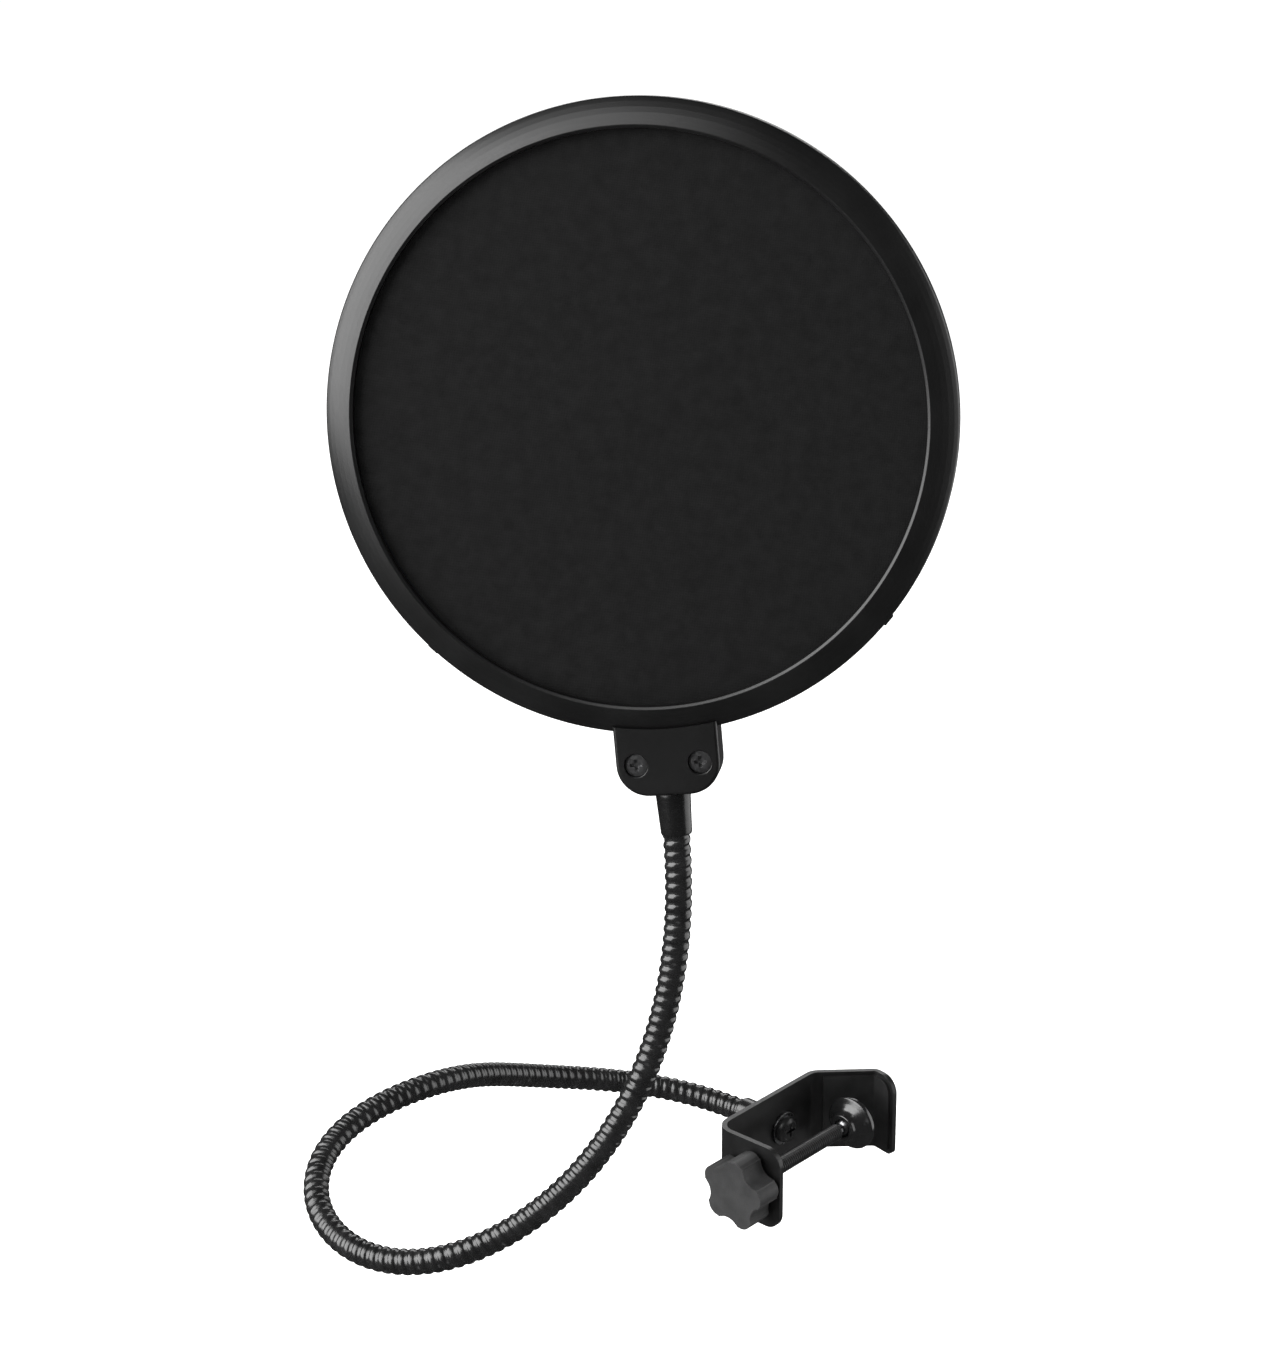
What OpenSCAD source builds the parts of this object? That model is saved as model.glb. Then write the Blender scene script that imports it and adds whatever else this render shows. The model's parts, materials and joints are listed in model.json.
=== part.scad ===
// Pop filter: a round two-screen hoop on a looped gooseneck, held by a bent-strip screw clamp.
// The origin is the valley of the clamp's V jaw, where a stand tube seats.
// +X runs along the clamp screw from the knob to the V jaw, +Y out of the clamp's back, +Z along the tube.

/* [Clamp strip] */
// Thickness of the steel strip
strip_t = 1.5; // [1.2:0.1:2]
// Width of the strip, along the gripped tube
strip_w = 25; // [22:1:28]
// Inside length of the near flange, from the web to its free edge
flange_len = 22.9; // [20:0.1:26]
// Inside length of the web, between its two bend corners
web_len = 41.7; // [38:0.1:46]
// Inside length of the slanted jaw face, from the web to the valley
jaw_len = 18.3; // [16:0.1:20]
// Inside length of the jaw's lip, from the valley to its free edge
lip_len = 7.7; // [6:0.1:9]
// Bend angle from the web to the slanted jaw face
jaw_bend = 46; // [40:1:50]
// Bend angle from the slanted jaw face to the lip
lip_bend = 54; // [46:1:60]
// Inside radius of the two corner bends
bend_r = 4; // [3:0.5:5]
// Inside radius of the valley bend
valley_r = 1.5; // [1:0.5:2.5]
// Radius of the free corners
corner_r = 5; // [3:0.5:6]
// Radius of the lip's lower corner, which is left nearly square
lip_low_r = 2; // [1.5:0.5:5]
// Thickness of the jaw's rubber liner
liner_t = 0.8; // [0.5:0.1:1]

/* [Clamp screw] */
// Diameter of the clamp screw
screw_d = 4.8; // [4.7:0.05:4.9]
// Diameter of the clearance hole and of the nut's bore
screw_hole_d = 4.96; // [4.94:0.01:5]
// Length of the weld nut
nut_len = 4; // [3:0.5:5]
// Diameter of the weld nut
nut_d = 9.5; // [9:0.5:11]
// Diameter of the ball on the screw's end
ball_d = 5.6; // [5.4:0.1:6]
// Distance of the ball's centre from the near flange's inner face
ball_reach = 40.5; // [36:0.5:41]
// Diameter of the pad's plate
pad_d = 16; // [14:0.5:16]

/* [Knob] */
// Diameter over the lobes
knob_d = 21.2; // [19:0.2:22]
// Number of lobes
knob_lobes = 5; // [5:1:7]
// Depth of the knob
knob_len = 8; // [7:0.5:9]
// Gap between the knob and the near flange
knob_gap = 1.4; // [1:0.1:2]

/* [Gooseneck] */
// Outside diameter of the hose
hose_d = 7; // [6.6:0.1:7.2]
// Centreline length of one hose section
link_len = 45; // [44:0.5:46]
// Distance of the gooseneck's foot from the near flange's inner face
foot_x = 27.7; // [26:0.1:29]
// Length of the ferrule at the foot
ferrule_len = 14; // [12:0.5:15]
// Length of the sleeve at the hoop
sleeve_len = 11; // [10:0.5:12]
// Turn of the hoop's face about the end of the gooseneck
hoop_roll = 70; // [60:1:84]

/* [Hoop] */
// Outside diameter of the hoop
hoop_d = 155; // [154:1:156]
// Diameter of the opening that shows the screen
window_d = 140.4; // [139:0.2:142]
// Thickness over the two lips
hoop_t = 14; // [13:0.5:15]
// Height of the cylindrical rim
rim_t = 6; // [5:0.5:7]
// Thickness of the hoop's outer wall
wall_t = 2.3; // [2:0.1:2.5]
// Thickness of a screen
screen_t = 0.3; // [0.2:0.1:0.4]
// Depth of a screen's face behind the lip
screen_sink = 2.6; // [2:0.2:3]

/* [Hoop tab] */
// Width of the tab
tab_w = 26; // [24:1:28]
// Distance from the rim down to the tab's lower edge
tab_drop = 15.5; // [14:0.5:16]
// Thickness of both tab halves together
tab_t = 10; // [9:0.5:10]
// Distance between the two tab screws
tab_pitch = 16; // [15:0.5:17]

/* [Hidden] */
$fn = 64;
HOSE_LINKS = 8;
ARC_STEPS = 8;

eps = 0.01;
running = 0.05;        // gap of a running fit, on the radius
seat_gap = 0.05;       // gap between faces that turn on each other

// Clamp: the strip's inner faces form a chain from the near flange to the lip
jaw_dir = -jaw_bend;                 // heading of the slanted face, from +X
lip_dir = jaw_dir - lip_bend;        // heading of the lip
flange_x = -web_len - jaw_len * cos(jaw_dir);   // inner face of the near flange
web_y = -jaw_len * sin(jaw_dir);                // inner face of the web
jaw_cut = bend_r * tan(jaw_bend / 2);           // tangent length of the jaw's bend
valley_cut = valley_r * tan(lip_bend / 2);      // tangent length of the valley's bend
valley_centre = valley_r * left_of(jaw_dir + 180) - valley_cut * heading(jaw_dir);
liner_inset = 1.2;                              // margin of the liner inside the strip's edges
nut_chamfer = 0.6;

// Clamp screw, along X through the origin's height
ball_x = flange_x + ball_reach;
collar_len = 2;                                 // neck behind the ball
collar_d = 3.2;
collar_lap = 0.9;                               // how much of the collar is inside the ball
pin_d = 2.2;                                    // screw's pin inside the ball tip
pin_bore_end = 0.2;                             // end of the pin's bore, past the ball's centre
rod_end_x = ball_x - ball_d / 2 - collar_len + collar_lap;
knob_back_x = flange_x - strip_t - knob_gap;
knob_front_x = knob_back_x - knob_len;
insert_d = 7;
insert_len = 6;
insert_floor = 1;                               // closed end of the insert
hub_d = insert_d + 4;                           // round hub on the knob's back
hub_proud = 0.4;
lobe_lap = 0.6;                                 // how far the lobes stand out of the knob's core
lobe_r = 3.4;                                   // radius of one knob lobe
lobe_at = knob_d / 2 - lobe_r;
knob_phase = 7;                                 // how far the knob stands turned at rest
flute_r = 5;                                    // radius of the hollow between two lobes
knob_waist = 8;                                 // distance from the axis to a hollow's floor

// Swivel pad
socket_d = ball_d + 0.3;
pad_back = 2;                                   // from the ball's centre back to the pad's mouth
pad_front = 3.6;                                // from the ball's centre to the plate's front
plate_t = 1.4;
pad_hub_d = 8.4;
mouth_d = 5.2;
mouth_flare = 1.2;
mouth_len = 0.8;
plate_chamfer = 0.4;
pad_face_d = 12;
pad_face_t = 1;

// Gooseneck: each section is one arc, given by its bend and by the direction it bends towards
HOSE_BENDS = [
  [65.1, -73.7],
  [35.7, -56.4],
  [47.6, 163.9],
  [89.4, -85.6],
  [69, -69.2],
  [33.3, -8.3],
  [23.4, -17.5],
  [17, -18.5]];
hose_ball_d = hose_d + 0.3;                     // ball at the end of a section
ball_clear = 0.1;                               // gap between a section's ball and the next cup
stub_d = hose_d - 1;                            // bare end of the hose inside a ferrule
stub_bite = 1;                                  // how far a stub runs into its section
crimp_depth = 7;                                // how far a stub goes into its ferrule
cup_cut = 1.8;                                  // start of a section, measured from its joint
foot = [flange_x + foot_x, web_y + strip_t, 0];
stud_d = 4;                                     // shank of the web screw
stud_hole_d = stud_d + 2 * running;
head_d = 7.8;
head_len = 2.2;
head_dome = [[1.2, 0], [0.3, 0.7], [0, 1.4]];   // inset and height of the pan head's rounding
head_cross = [3.8, 0.9, 1.1];                   // length, width and depth of its cross recess
washer_d = 10;
washer_t = 0.8;
washer_play = 0.2;
ferrule_d = 8.4;
ferrule_edge = [0.4, 0.8];                      // inset and length of the ferrule's taper at its mouth
ferrule_nut_d = 10.5;
ferrule_nut_len = 5;
ferrule_nut_edge = 0.5;                         // chamfer of the ferrule's nut

// Hoop, in a frame with Z along the gooseneck's end and Y out of the front face
hoop_r = hoop_d / 2;
lip_r = window_d / 2;
bed_r = hoop_r - wall_t;                        // inside of the outer wall
lip_y = hoop_t / 2;
rim_y = rim_t / 2;
screen_y = lip_y - screen_sink;                 // front face of the front screen
lip_flat = 0.8;                                 // flat crest of the lip
lip_drop = 0.3;                                 // fall of the crest towards the opening
tab_bottom = sleeve_len;
hoop_z = tab_bottom + tab_drop + hoop_r;        // centre of the hoop
tab_corner = 8;
arch_r = 30;                                    // radius of the tab's arched top
arch_top = 73;                                  // distance from the hoop's centre to the arch's crown
tab_screw_z = tab_bottom + 8;
tab_head_d = 5.6;
tab_head_len = 1.6;
tab_cross = [3, 0.8, 0.9];                      // length, width and depth of the cross recess
tab_shank_d = 2.6;
tab_shank_start = 1.4;                          // distance of the shank's tip from the tab's back
tab_shank_play = 0.3;
tab_recess = 2.6;
sleeve_foot = [0.25, 0.5];                      // chamfer at the sleeve's lower end
sleeve_low = 0.45;                              // wall of the sleeve at its lower end
sleeve_top = 0.9;                               // wall of the sleeve at its upper end
sleeve_collar = 1;                              // straight stretch at its upper end
tongue_w = 9;
tongue_t = 3;
tongue_len = 13;
tongue_lift = 0.4;                              // gap under the tongue
tongue_pin_d = tongue_t + 1;
tongue_pin_sink = 4;                            // how far the tongue's pin goes down the sleeve
tongue_play = 0.1;
pin_play = 0.1;
screw_hole_floor = 1;                           // plastic left behind the rear half's screw holes
nub_at = 47;                                    // angle of the rim nubs from the tab
nub = [0.8, 3, 1.6];                            // size of a rim nub

// ---------- helpers ----------

module turned(points) {
  // solid of revolution about Z from [radius, height] points
  rotate_extrude() polygon(points);
}

module along_x(x, length, d) {
  translate([x, 0, 0]) rotate([0, 90, 0]) cylinder(d = d, h = length);
}

module on_screw_axis(x) {
  // local Z becomes +X
  translate([x, 0, 0]) rotate([0, 90, 0]) children();
}

module cross_cut(size) {
  // two crossed slots that go size[2] up from local z = 0
  for (a = [0, 90]) rotate([0, 0, a])
    translate([-size[0] / 2, -size[1] / 2, 0]) cube(size);
}

function heading(a) = [cos(a), sin(a)];

function left_of(a) = [-sin(a), cos(a)];

function arc_points(centre, r, from_angle, to_angle) =
  [for (i = [0:ARC_STEPS]) centre + r * heading(from_angle + (to_angle - from_angle) * i / ARC_STEPS)];

function reversed(points) = [for (i = [len(points) - 1:-1:0]) points[i]];

// the strip's outline in plan at a distance outside its inner face, from the near flange to the lip
function strip_side(out) = concat(
  [[flange_x - out, web_y - flange_len]],
  arc_points([flange_x + bend_r, web_y - bend_r], bend_r + out, 180, 90),
  arc_points([flange_x + web_len - jaw_cut, web_y - bend_r], bend_r + out, 90, 90 + jaw_dir),
  arc_points(valley_centre, valley_r + out, 90 + jaw_dir, 90 + lip_dir),
  [lip_len * heading(lip_dir) + out * left_of(lip_dir)]);

// the same for the liner, which only covers the slanted face and the lip
function liner_side(out) = concat(
  [-(jaw_len - jaw_cut - liner_inset) * heading(jaw_dir) + out * left_of(jaw_dir)],
  arc_points(valley_centre, valley_r + out, 90 + jaw_dir, 90 + lip_dir),
  [(lip_len - liner_inset) * heading(lip_dir) + out * left_of(lip_dir)]);

module bent_strip(outer_side, inner_side, width) {
  translate([0, 0, -width / 2]) linear_extrude(width) polygon(concat(outer_side, reversed(inner_side)));
}

module corner_rounding(radii, width, reach) {
  // cuts the upper and lower corner of a free edge at local x = 0, with the strip on -X
  for (side = [0, 1]) mirror([0, 0, side]) difference() {
    translate([-radii[side], -reach, width / 2 - radii[side]])
      cube([radii[side] + 1, 2 * reach, radii[side] + 1]);
    translate([-radii[side], 0, width / 2 - radii[side]]) rotate([90, 0, 0])
      cylinder(r = radii[side], h = 3 * reach, center = true);
  }
}

// ---------- clamp ----------

module clamp_bracket() {
  color([0.09, 0.09, 0.1]) difference() {
    bent_strip(strip_side(strip_t), strip_side(0), strip_w);
    translate([flange_x, web_y - flange_len, 0]) rotate([0, 0, -90])
      corner_rounding([corner_r, corner_r], strip_w, 2 * strip_t);
    rotate([0, 0, lip_dir]) translate([lip_len, 0, 0])
      corner_rounding([corner_r, lip_low_r], strip_w, 2 * strip_t);
    along_x(flange_x - 2 * strip_t, 3 * strip_t, screw_hole_d);
    translate([foot[0], foot[1] + strip_t, 0]) rotate([90, 0, 0])
      cylinder(d = stud_hole_d, h = 3 * strip_t);
  }
}

module clamp_nut() {
  color([0.12, 0.12, 0.13]) on_screw_axis(flange_x) difference() {
    union() {
      cylinder(d = nut_d, h = nut_len - nut_chamfer);
      translate([0, 0, nut_len - nut_chamfer])
        cylinder(d1 = nut_d, d2 = nut_d - 2 * nut_chamfer, h = nut_chamfer);
    }
    translate([0, 0, -eps]) cylinder(d = screw_hole_d, h = nut_len + 2 * eps);
  }
}

module jaw_liner() {
  // one rubber strip glued into the V
  width = strip_w - 2 * liner_inset;
  color([0.05, 0.05, 0.05]) difference() {
    bent_strip(liner_side(0), liner_side(-liner_t), width);
    rotate([0, 0, lip_dir]) translate([lip_len - liner_inset, 0, 0])
      corner_rounding([corner_r - liner_inset, lip_low_r - liner_inset], width, 2 * strip_t);
  }
}

module clamp_screw() {
  shank_start = knob_back_x - insert_len + insert_floor;
  color([0.16, 0.16, 0.17]) {
    along_x(shank_start, rod_end_x - shank_start, screw_d);
    along_x(rod_end_x - eps, ball_x - rod_end_x, pin_d);
  }
}

module knob_insert() {
  color([0.55, 0.5, 0.35]) on_screw_axis(knob_back_x - insert_len) difference() {
    cylinder(d = insert_d, h = insert_len);
    translate([0, 0, insert_floor]) cylinder(d = screw_d, h = insert_len);
  }
}

module knob_outline() {
  // round lobes joined by hollows
  difference() {
    circle(knob_d / 2 - lobe_lap);
    for (i = [1:knob_lobes]) rotate(i * 360 / knob_lobes)
      translate([knob_waist + flute_r, 0]) circle(flute_r);
  }
  for (i = [1:knob_lobes]) rotate((i + 0.5) * 360 / knob_lobes)
    translate([lobe_at, 0]) circle(lobe_r);
}

module knob() {
  color([0.3, 0.3, 0.31]) on_screw_axis(knob_front_x) difference() {
    union() {
      rotate(knob_phase) linear_extrude(knob_len) knob_outline();
      cylinder(d = hub_d, h = knob_len + hub_proud);
    }
    translate([0, 0, knob_len - insert_len]) cylinder(d = insert_d, h = 2 * insert_len);
  }
}

module ball_tip() {
  color([0.62, 0.62, 0.64]) on_screw_axis(ball_x) difference() {
    union() {
      sphere(d = ball_d);
      translate([0, 0, -ball_d / 2 - collar_len + 1]) cylinder(d = collar_d, h = collar_len + 1);
    }
    translate([0, 0, -2 * ball_d])
      cylinder(d = pin_d + 2 * running, h = 2 * ball_d + pin_bore_end);
  }
}

module swivel_pad() {
  color([0.14, 0.14, 0.15]) on_screw_axis(ball_x) difference() {
    turned([
      [0, -pad_back],
      [pad_hub_d / 2, -pad_back],
      [pad_d / 2 - plate_chamfer, pad_front - plate_t],
      [pad_d / 2, pad_front - plate_t + plate_chamfer],
      [pad_d / 2, pad_front],
      [0, pad_front]]);
    sphere(d = socket_d);
    translate([0, 0, -pad_back - eps])
      cylinder(d1 = mouth_d, d2 = mouth_d - mouth_flare, h = mouth_len);
  }
}

module pad_face() {
  color([0.05, 0.05, 0.05]) on_screw_axis(ball_x + pad_front)
    cylinder(d = pad_face_d, h = pad_face_t);
}

// ---------- gooseneck foot ----------

module at_foot() {
  // local Z leaves the web's back, local X points up
  translate(foot) rotate([-90, 0, 0]) rotate([0, 0, -90]) children();
}

module neck_screw() {
  head_face = -strip_t - seat_gap - washer_t;
  color([0.2, 0.2, 0.21]) at_foot() {
    translate([0, 0, head_face - head_len]) difference() {
      turned(concat(
        [[0, 0]],
        [for (p = head_dome) [head_d / 2 - p[0], p[1]]],
        [[head_d / 2, head_len], [0, head_len]]));
      translate([0, 0, -eps]) cross_cut(head_cross);
    }
    translate([0, 0, head_face - eps]) cylinder(d = stud_d, h = ferrule_nut_len - head_face);
  }
}

module neck_washer() {
  color([0.3, 0.3, 0.31]) at_foot() translate([0, 0, -strip_t - seat_gap - washer_t])
    difference() {
      cylinder(d = washer_d, h = washer_t);
      translate([0, 0, -eps]) cylinder(d = stud_d + washer_play, h = washer_t + 2 * eps);
    }
}

module lower_ferrule() {
  color([0.1, 0.1, 0.11]) at_foot() difference() {
    turned([
      [0, seat_gap],
      [ferrule_nut_d / 2 - ferrule_nut_edge, seat_gap],
      [ferrule_nut_d / 2, seat_gap + ferrule_nut_edge],
      [ferrule_nut_d / 2, ferrule_nut_len - ferrule_nut_edge],
      [ferrule_nut_d / 2 - ferrule_nut_edge, ferrule_nut_len],
      [ferrule_d / 2, ferrule_nut_len],
      [ferrule_d / 2, ferrule_len - ferrule_edge[1]],
      [ferrule_d / 2 - ferrule_edge[0], ferrule_len],
      [0, ferrule_len]]);
    cylinder(d = stud_d, h = ferrule_nut_len + 1);
    translate([0, 0, ferrule_len - crimp_depth]) cylinder(d = stub_d, h = crimp_depth + 1);
  }
}

// ---------- gooseneck ----------

module hose_step(i) {
  // moves from the start of section i to its end
  bend = HOSE_BENDS[i][0];
  dir = HOSE_BENDS[i][1];
  r = link_len * 180 / (PI * bend);
  rotate([0, 0, dir]) translate([r * (1 - cos(bend)), 0, r * sin(bend)])
    rotate([0, bend, 0]) rotate([0, 0, -dir]) children();
}

module at_joint(n) {
  // the end of the first n sections
  if (n == 0) at_foot() translate([0, 0, ferrule_len]) children();
  else at_joint(n - 1) hose_step(n - 1) children();
}

module hose_arc(bend, dir, from_len) {
  // the arc of one section, starting from_len along it
  r = link_len * 180 / (PI * bend);
  skip = bend * from_len / link_len;
  rotate([0, 0, dir]) translate([r, 0, 0]) rotate([90, 0, 180]) rotate([0, 0, skip])
    rotate_extrude(angle = bend - skip) translate([r, 0]) circle(d = hose_d);
}

module gooseneck(n) {
  // section n: a cup over the ball before it, and its own ball at the far end
  bend = HOSE_BENDS[n - 1][0];
  dir = HOSE_BENDS[n - 1][1];
  first = n == 1;
  last = n == HOSE_LINKS;
  color([0.13, 0.13, 0.14]) at_joint(n - 1) difference() {
    union() {
      hose_arc(bend, dir, first ? 0 : cup_cut);
      if (first) translate([0, 0, -crimp_depth]) cylinder(d = stub_d, h = crimp_depth + stub_bite);
      hose_step(n - 1) {
        if (last) translate([0, 0, -stub_bite]) cylinder(d = stub_d, h = crimp_depth + stub_bite);
        else sphere(d = hose_ball_d);
      }
    }
    if (!first) sphere(d = hose_ball_d + 2 * ball_clear);
  }
}

// ---------- hoop ----------

module at_hoop_end() {
  at_joint(HOSE_LINKS) rotate([0, 0, hoop_roll - 90]) children();
}

// height along the neck's end, turned into the hoop plane's Y
function plane_y(z) = z - hoop_z;

module at_hoop_centre() {
  // local Z becomes the front face's normal
  at_hoop_end() translate([0, 0, hoop_z]) rotate([90, 0, 180]) children();
}

module upper_sleeve() {
  color([0.07, 0.07, 0.08]) at_hoop_end() difference() {
    turned([
      [0, 0],
      [hose_d / 2 + sleeve_foot[0], 0],
      [hose_d / 2 + sleeve_low, sleeve_foot[1]],
      [hose_d / 2 + sleeve_top, sleeve_len - sleeve_collar],
      [hose_d / 2 + sleeve_top, sleeve_len],
      [0, sleeve_len]]);
    translate([0, 0, -eps]) cylinder(d = stub_d, h = crimp_depth + eps);
    translate([0, 0, crimp_depth - eps]) cylinder(d = tongue_pin_d, h = sleeve_len);
  }
}

module neck_tongue() {
  // the flat plug that the two tab halves close on
  color([0.5, 0.5, 0.52]) at_hoop_end() {
    translate([0, 0, sleeve_len - tongue_pin_sink])
      cylinder(d = tongue_pin_d, h = tongue_pin_sink + 1);
    translate([-tongue_w / 2, -tongue_t / 2, tab_bottom + tongue_lift])
      cube([tongue_w, tongue_t, tongue_len]);
  }
}

module ring_half() {
  // profile of one half ring: outer wall, cone and lip
  turned([
    [bed_r, 0],
    [hoop_r, 0],
    [hoop_r, rim_y],
    [lip_r + lip_flat, lip_y],
    [lip_r, lip_y - lip_drop],
    [lip_r, screen_y],
    [bed_r, screen_y]]);
}

module tab_outline() {
  // U-shaped tab with an arched top, in the hoop's plane, with -Y down the neck
  bottom = hoop_r + tab_drop;
  intersection() {
    translate([-tab_w / 2, -bottom + tab_corner]) square([tab_w, bottom - tab_corner]);
    translate([0, -arch_top - arch_r]) circle(arch_r, $fn = 96);
  }
  translate([-tab_w / 2 + tab_corner, -bottom]) square([tab_w - 2 * tab_corner, tab_corner + eps]);
  for (side = [-1, 1])
    translate([side * (tab_w / 2 - tab_corner), -bottom + tab_corner]) circle(tab_corner);
}

module tab_half() {
  // half of the tab, open inside the ring's wall and pocketed for the tongue
  difference() {
    linear_extrude(tab_t / 2) tab_outline();
    translate([0, 0, -eps]) cylinder(r = bed_r, h = screen_y + eps);
    translate([-tongue_w / 2 - tongue_play, plane_y(tab_bottom + tongue_lift - tongue_play), -eps])
      cube([tongue_w + 2 * tongue_play, tongue_len + 2 * tongue_play, tongue_t / 2 + tongue_play]);
    translate([0, plane_y(tab_bottom - 1), 0]) rotate([-90, 0, 0])
      cylinder(d = tongue_pin_d + 2 * pin_play, h = 3);
  }
}

module rim_nubs() {
  for (side = [-1, 1]) rotate([0, 0, side * nub_at - 90])
    translate([hoop_r - nub[0] / 2, -nub[1] / 2, 0]) cube(nub);
}

module front_ring() {
  color([0.1, 0.1, 0.11]) at_hoop_centre() difference() {
    union() {
      ring_half();
      tab_half();
      rim_nubs();
    }
    for (side = [-1, 1]) translate([side * tab_pitch / 2, plane_y(tab_screw_z), 0]) {
      translate([0, 0, -eps]) cylinder(d = tab_shank_d + tab_shank_play, h = tab_t);
      translate([0, 0, tab_t / 2 - tab_recess]) cylinder(d = tab_head_d + tab_shank_play, h = tab_t);
    }
  }
}

module rear_ring() {
  color([0.1, 0.1, 0.11]) at_hoop_centre() mirror([0, 0, 1]) difference() {
    union() {
      ring_half();
      tab_half();
    }
    for (side = [-1, 1]) translate([side * tab_pitch / 2, plane_y(tab_screw_z), -eps])
      cylinder(d = tab_shank_d, h = tab_t / 2 - screw_hole_floor);
  }
}

module spacer_ring() {
  half = screen_y - screen_t;
  color([0.1, 0.1, 0.11]) at_hoop_centre() difference() {
    translate([0, 0, -half]) cylinder(r = bed_r - 0.1, h = 2 * half);
    translate([0, 0, -hoop_t]) cylinder(r = lip_r + 0.4, h = 2 * hoop_t);
  }
}

module screen_disc() {
  translate([0, 0, screen_y - screen_t]) cylinder(r = bed_r - 0.2, h = screen_t);
}

module front_screen() {
  color([0.08, 0.08, 0.08]) at_hoop_centre() screen_disc();
}

module rear_screen() {
  color([0.08, 0.08, 0.08]) at_hoop_centre() mirror([0, 0, 1]) screen_disc();
}

module tab_screws() {
  color([0.25, 0.25, 0.26]) at_hoop_centre()
    for (side = [-1, 1]) translate([side * tab_pitch / 2, plane_y(tab_screw_z), 0])
      difference() {
        union() {
          translate([0, 0, tab_t / 2 - tab_recess]) cylinder(d = tab_head_d, h = tab_head_len);
          translate([0, 0, -tab_t / 2 + tab_shank_start])
            cylinder(d = tab_shank_d, h = tab_t - tab_recess);
        }
        translate([0, 0, tab_t / 2 - tab_recess + tab_head_len + eps])
          mirror([0, 0, 1]) cross_cut(tab_cross);
      }
}

clamp_bracket();
clamp_nut();
jaw_liner();
clamp_screw();
knob_insert();
knob();
ball_tip();
swivel_pad();
pad_face();
neck_screw();
neck_washer();
lower_ferrule();
for (i = [1:HOSE_LINKS])
  gooseneck(i);
upper_sleeve();
neck_tongue();
front_ring();
rear_ring();
spacer_ring();
front_screen();
rear_screen();
tab_screws();
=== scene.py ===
import json
import math

import bmesh
import bpy
import numpy as np
from mathutils import Matrix, Vector


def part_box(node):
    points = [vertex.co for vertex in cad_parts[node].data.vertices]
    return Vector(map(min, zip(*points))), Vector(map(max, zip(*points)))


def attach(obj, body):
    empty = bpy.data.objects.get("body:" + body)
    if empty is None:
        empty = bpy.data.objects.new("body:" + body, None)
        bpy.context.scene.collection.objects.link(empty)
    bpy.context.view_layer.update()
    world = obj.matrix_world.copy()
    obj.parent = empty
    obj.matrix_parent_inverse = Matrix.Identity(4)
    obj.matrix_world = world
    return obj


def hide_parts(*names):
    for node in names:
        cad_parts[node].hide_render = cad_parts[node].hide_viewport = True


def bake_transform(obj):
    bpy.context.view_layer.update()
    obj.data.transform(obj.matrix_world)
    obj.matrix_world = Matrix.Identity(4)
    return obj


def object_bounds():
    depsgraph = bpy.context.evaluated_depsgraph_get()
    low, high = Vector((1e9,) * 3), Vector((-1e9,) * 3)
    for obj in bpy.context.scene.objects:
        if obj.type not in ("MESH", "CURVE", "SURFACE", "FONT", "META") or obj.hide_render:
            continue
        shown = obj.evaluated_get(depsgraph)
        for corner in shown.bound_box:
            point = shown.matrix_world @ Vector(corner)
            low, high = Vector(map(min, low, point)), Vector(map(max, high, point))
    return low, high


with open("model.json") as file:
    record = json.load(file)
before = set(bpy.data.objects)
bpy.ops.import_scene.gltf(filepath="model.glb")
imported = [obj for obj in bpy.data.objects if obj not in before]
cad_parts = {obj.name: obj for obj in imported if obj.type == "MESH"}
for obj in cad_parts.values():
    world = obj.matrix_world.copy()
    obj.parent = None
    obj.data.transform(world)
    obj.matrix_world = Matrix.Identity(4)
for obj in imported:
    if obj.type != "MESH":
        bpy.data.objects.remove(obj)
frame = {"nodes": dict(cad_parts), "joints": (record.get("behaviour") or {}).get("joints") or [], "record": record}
CAD_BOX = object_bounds()

MM = 0.001
UP = Vector((0, 0, 1))
BODY_OF = {node: body for body, nodes in frame["record"]["behaviour"]["bodies"].items() for node in nodes}
JOINT_AT = {j["name"]: Vector(j["pos_m"]) for j in frame["joints"] if "pos_m" in j}


# ---------- places, all read from the frame ----------

def box_middle(node):
    """Middle of a CAD node's box."""
    low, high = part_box(node)
    return (low + high) / 2


def axis_point(node):
    """Mean of a turned part's distinct vertices, which lies on its axis."""
    places = {tuple(round(c, 6) for c in v.co) for v in frame["nodes"][node].data.vertices}
    return sum((Vector(p) for p in places), Vector()) / len(places)


def placed(x_axis, y_axis, origin):
    """Matrix whose columns are two given directions, their cross product and an origin."""
    z_axis = x_axis.cross(y_axis)
    columns = [x_axis, y_axis, z_axis]
    rows = [[c[i] for c in columns] + [origin[i]] for i in range(3)]
    return Matrix(rows + [[0, 0, 0, 1]])


def hoop_frame():
    """Origin at the hoop's centre, local Z out of the front, local Y away from the neck."""
    centre = (box_middle("front_screen") + box_middle("rear_screen")) / 2
    normal = (box_middle("front_screen") - centre).normalized()
    up = centre - axis_point("upper_sleeve")
    up = (up - up.dot(normal) * normal).normalized()
    return placed(up.cross(normal), up, centre)


HOOP = hoop_frame()
HOOP_UP = HOOP.to_3x3() @ Vector((0, 1, 0))


def lowest_height(node, matrix):
    """Lowest local Y of a CAD node in a frame."""
    inverse = matrix.inverted()
    return min((inverse @ v.co).y for v in frame["nodes"][node].data.vertices)


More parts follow.
